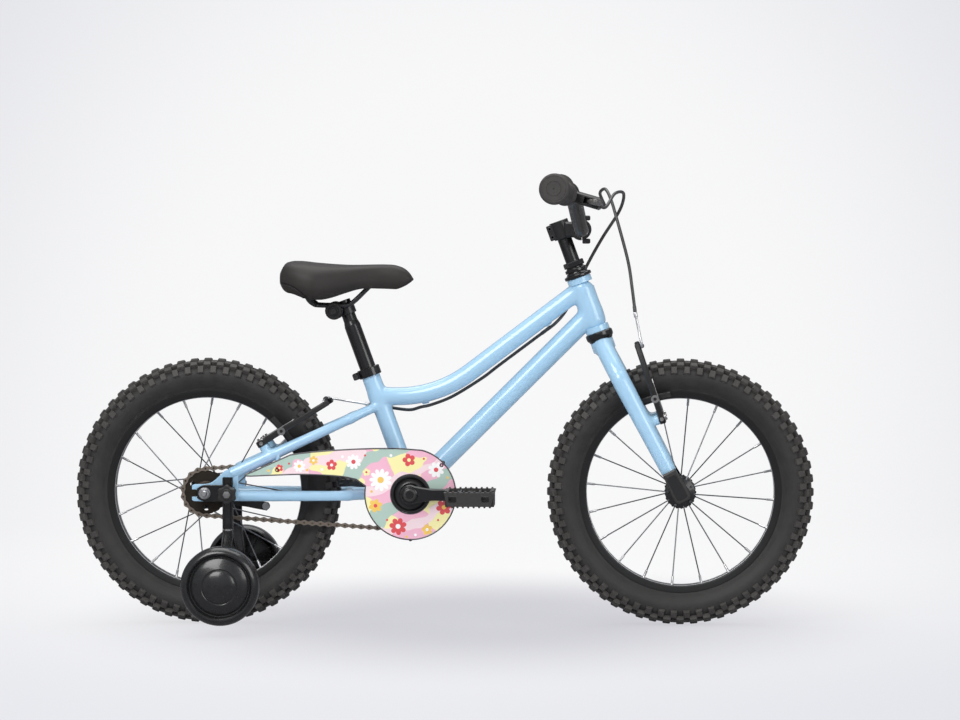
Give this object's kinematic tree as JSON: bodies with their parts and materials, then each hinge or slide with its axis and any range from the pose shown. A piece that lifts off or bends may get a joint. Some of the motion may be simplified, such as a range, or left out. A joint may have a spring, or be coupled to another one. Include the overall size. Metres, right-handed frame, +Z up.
{
  "type": "kids bike",
  "caption": "Pale blue children's bike with black knobby tyres, a printed pink chain guard, rim brakes, a coaster hub and bolt-on stabilisers.",
  "frame": {"origin": "on the ground, midway between the ends of the two tyres, on the bike's middle plane", "axes": "+X forward, +Y to the rider's left, +Z up"},
  "size_m": [1.1542, 0.5297, 0.7036],
  "materials": {
    "blue_paint": "gloss pale blue paint",
    "black_paint": "satin black paint",
    "black_plastic": "black moulded plastic",
    "gloss_plastic": "gloss black plastic",
    "black_rubber": "matt black rubber",
    "saddle_skin": "matt black grained cover",
    "bright_steel": "bright plated steel",
    "dark_steel": "dark brown oiled steel",
    "guard_pink": "pink plastic with a printed pattern"
  },
  "bodies": {
    "frame": {"frame": "blue_paint", "headset_upper_cup": "black_paint", "headset_lower_cup": "black_paint", "seat_collar": "black_paint", "bottom_bracket": "dark_steel", "chainguard": "guard_pink", "rear_axle": "bright_steel", "coaster_arm": "black_paint", "stabiliser_bracket_right": "black_paint", "stabiliser_bracket_left": "black_paint", "stabiliser_knob_right": "black_plastic", "stabiliser_knob_left": "black_plastic", "rear_cable_housing": "black_rubber", "chain": "dark_steel"},
    "steering": {"fork": "blue_paint", "headset_locknut": "black_paint", "quill": "black_paint", "stem": "black_paint", "stem_faceplate": "black_paint", "handlebar": "black_paint", "grip_right": "black_rubber", "grip_left": "black_rubber", "lever_bracket_right": "black_plastic", "lever_bracket_left": "black_plastic", "front_axle": "bright_steel", "fork_cover_right": "black_plastic", "fork_cover_left": "black_plastic", "front_cable_housing": "black_rubber"},
    "front_wheel": {"front_tyre": "black_rubber", "front_rim": "black_paint", "front_hub_and_spokes": "dark_steel"},
    "rear_wheel": {"rear_tyre": "black_rubber", "rear_rim": "black_paint", "rear_hub_and_spokes": "dark_steel"},
    "rear_cog": {"rear_cog": "dark_steel"},
    "cranks": {"crank_spindle": "bright_steel", "crank_arm_right": "black_paint", "crank_arm_left": "black_paint", "chainring": "black_paint"},
    "pedal_right": {"pedal_right": "black_plastic"},
    "pedal_left": {"pedal_left": "black_plastic"},
    "brake_lever_right": {"lever_blade_right": "black_paint"},
    "brake_lever_left": {"lever_blade_left": "black_paint"},
    "front_arm_right": {"front_brake_arm_right": "black_paint", "front_pad_right": "black_rubber", "front_noodle": "bright_steel"},
    "front_arm_left": {"front_brake_arm_left": "black_paint", "front_pad_left": "black_rubber"},
    "rear_arm_right": {"rear_brake_arm_right": "black_paint", "rear_pad_right": "black_rubber"},
    "rear_arm_left": {"rear_brake_arm_left": "black_paint", "rear_pad_left": "black_rubber", "rear_noodle": "bright_steel"},
    "seatpost": {"seatpost": "black_paint", "saddle_clamp": "black_paint"},
    "saddle": {"saddle_rails": "dark_steel", "saddle_base": "black_plastic", "saddle_pad": "saddle_skin"},
    "stabiliser_wheel_right": {"stabiliser_wheel_right": "gloss_plastic"},
    "stabiliser_wheel_left": {"stabiliser_wheel_left": "gloss_plastic"}
  },
  "joints": [
    {"name": "steering", "type": "hinge", "parent": "frame", "child": "steering", "pos_m": [0.2399, 0, 0.4573], "axis": [-0.342, 0, 0.9397], "range_deg": [-60, 60], "deforming": ["rear_cable_housing"]},
    {"name": "front_wheel_spin", "type": "hinge", "parent": "steering", "child": "front_wheel", "pos_m": [0.368, 0, 0.208], "axis": [0, 1, 0], "continuous": true},
    {"name": "rear_wheel_spin", "type": "hinge", "parent": "frame", "child": "rear_wheel", "pos_m": [-0.37, 0, 0.208], "axis": [0, 1, 0], "continuous": true},
    {"name": "crank_spin", "type": "hinge", "parent": "frame", "child": "cranks", "pos_m": [-0.0501, 0, 0.208], "axis": [0, 1, 0], "continuous": true, "deforming": ["chain"]},
    {"name": "rear_cog_spin", "type": "hinge", "parent": "frame", "child": "rear_cog", "pos_m": [-0.37, 0, 0.208], "axis": [0, 1, 0], "continuous": true},
    {"name": "pedal_right_spin", "type": "hinge", "parent": "cranks", "child": "pedal_right", "pos_m": [0.0449, 0, 0.208], "axis": [0, 1, 0], "continuous": true},
    {"name": "pedal_left_spin", "type": "hinge", "parent": "cranks", "child": "pedal_left", "pos_m": [-0.1451, 0, 0.208], "axis": [0, 1, 0], "continuous": true},
    {"name": "brake_lever_right_pull", "type": "hinge", "parent": "steering", "child": "brake_lever_right", "pos_m": [0.22867, -0.14892, 0.66068], "axis": [-0.2872, -0.0303, -0.9574], "range_deg": [0, 18], "stiffness_Nm_per_rad": 1.6, "springref_deg": -5.73},
    {"name": "brake_lever_left_pull", "type": "hinge", "parent": "steering", "child": "brake_lever_left", "pos_m": [0.22867, 0.14892, 0.66068], "axis": [0.2872, -0.0303, 0.9574], "range_deg": [0, 18], "stiffness_Nm_per_rad": 1.6, "springref_deg": -5.73},
    {"name": "front_brake_left_swing", "type": "hinge", "parent": "steering", "child": "front_arm_left", "pos_m": [0.33817, 0.044, 0.32482], "axis": [0.9483, 0, 0.3173], "range_deg": [0, 3.42]},
    {"name": "front_brake_right_swing", "type": "hinge", "parent": "steering", "child": "front_arm_right", "pos_m": [0.33817, -0.044, 0.32482], "axis": [0.9483, 0, 0.3173], "range_deg": [-3.42, 0]},
    {"name": "rear_brake_left_swing", "type": "hinge", "parent": "frame", "child": "rear_arm_left", "pos_m": [-0.28215, 0.044, 0.28511], "axis": [0.524, 0, -0.8517], "range_deg": [0, 3.42]},
    {"name": "rear_brake_right_swing", "type": "hinge", "parent": "frame", "child": "rear_arm_right", "pos_m": [-0.28215, -0.044, 0.28511], "axis": [0.524, 0, -0.8517], "range_deg": [-3.42, 0]},
    {"name": "seatpost_slide", "type": "slide", "parent": "frame", "child": "seatpost", "axis": [-0.342, 0, 0.9397], "range_m": [-0.05, 0.045]},
    {"name": "saddle_tilt", "type": "hinge", "parent": "seatpost", "child": "saddle", "pos_m": [-0.17159, 0, 0.49007], "axis": [0, 1, 0], "range_deg": [-15, 15]},
    {"name": "stabiliser_wheel_right_spin", "type": "hinge", "parent": "frame", "child": "stabiliser_wheel_right", "pos_m": [-0.333, -0.197, 0.077], "axis": [0, 1, 0], "continuous": true},
    {"name": "stabiliser_wheel_left_spin", "type": "hinge", "parent": "frame", "child": "stabiliser_wheel_left", "pos_m": [-0.333, 0.197, 0.077], "axis": [0, 1, 0], "continuous": true}
  ],
  "couplings": [
    {"joint": "rear_cog_spin", "follows": "crank_spin", "ratio": 1.6111},
    {"joint": "front_brake_left_swing", "follows": "brake_lever_left_pull", "ratio": 0.19},
    {"joint": "front_brake_right_swing", "follows": "brake_lever_left_pull", "ratio": -0.19},
    {"joint": "rear_brake_left_swing", "follows": "brake_lever_right_pull", "ratio": 0.19},
    {"joint": "rear_brake_right_swing", "follows": "brake_lever_right_pull", "ratio": -0.19}
  ]
}
